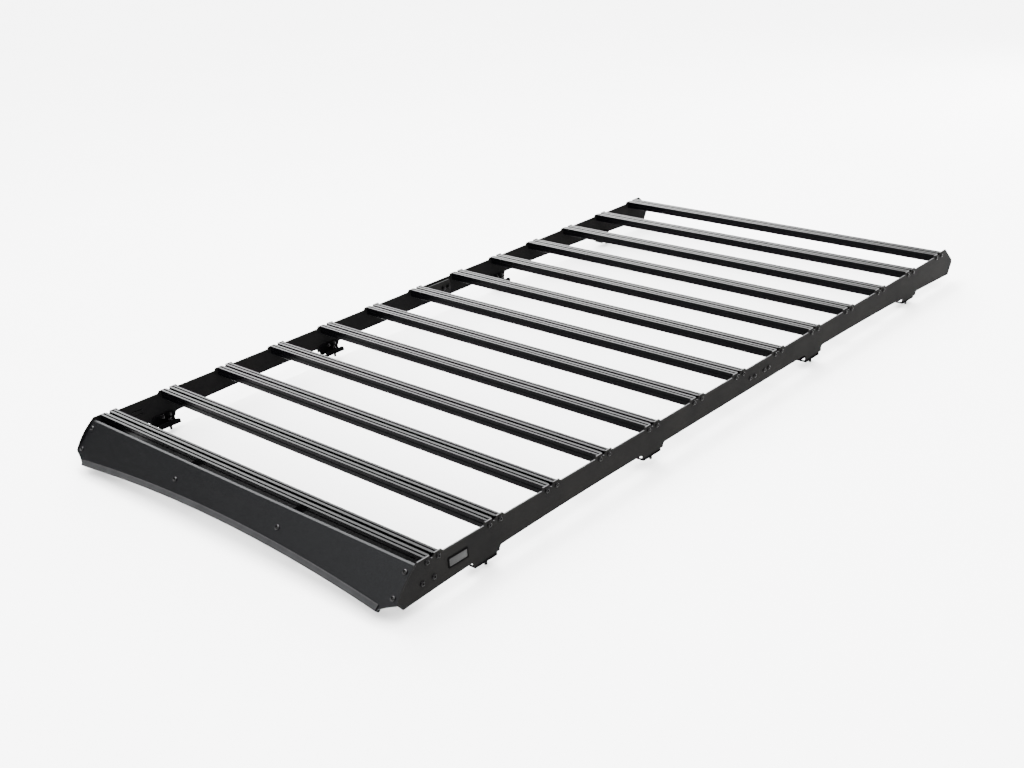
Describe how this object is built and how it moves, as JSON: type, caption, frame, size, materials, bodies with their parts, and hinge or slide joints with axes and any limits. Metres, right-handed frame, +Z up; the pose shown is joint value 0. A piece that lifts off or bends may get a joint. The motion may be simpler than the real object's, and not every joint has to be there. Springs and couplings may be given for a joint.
{
  "type": "flat platform roof rack",
  "caption": "Flat roof platform of slotted cross slats between bolted side plates, with slotted bolt-down feet, an inclined front fairing with a rubber edge, and a blank badge plate.",
  "frame": {"origin": "centre of the rack in plan, at the level of the lowest foot bolt's tip", "axes": "+X to the rack's right side, -Y to the front with the fairing, +Z up out of the deck"},
  "size_m": [1.344, 2.702, 0.1276],
  "materials": {
    "slat_coating": "satin black powder coat",
    "plate_coating": "fine matt black powder coat",
    "foot_steel": "matt black coated steel",
    "fastener_steel": "black zinc plated steel",
    "trim_rubber": "satin grey-black rubber",
    "badge_plastic": "matt black, blank"
  },
  "bodies": {
    "root": {"slat_01": "slat_coating", "slat_02": "slat_coating", "slat_03": "slat_coating", "slat_04": "slat_coating", "slat_05": "slat_coating", "slat_06": "slat_coating", "slat_07": "slat_coating", "slat_08": "slat_coating", "slat_09": "slat_coating", "slat_10": "slat_coating", "slat_11": "slat_coating", "slat_12": "slat_coating", "slat_13": "slat_coating", "side_plate_right_front": "plate_coating", "side_plate_right_rear": "plate_coating", "side_plate_left_front": "plate_coating", "side_plate_left_rear": "plate_coating", "splice_plate_right": "plate_coating", "splice_plate_left": "plate_coating", "foot_bracket_right_1": "foot_steel", "foot_bracket_right_2": "foot_steel", "foot_bracket_right_3": "foot_steel", "foot_bracket_right_4": "foot_steel", "foot_bracket_left_1": "foot_steel", "foot_bracket_left_2": "foot_steel", "foot_bracket_left_3": "foot_steel", "foot_bracket_left_4": "foot_steel", "foot_bolt_right_1": "fastener_steel", "foot_bolt_right_2": "fastener_steel", "foot_bolt_right_3": "fastener_steel", "foot_bolt_right_4": "fastener_steel", "foot_bolt_left_1": "fastener_steel", "foot_bolt_left_2": "fastener_steel", "foot_bolt_left_3": "fastener_steel", "foot_bolt_left_4": "fastener_steel", "wind_fairing": "plate_coating", "fairing_edge_trim": "trim_rubber", "fairing_corner_bracket_right": "plate_coating", "fairing_corner_bracket_left": "plate_coating", "fairing_middle_bracket_right": "plate_coating", "fairing_middle_bracket_left": "plate_coating", "badge_plate": "badge_plastic"}
  },
  "joints": []
}
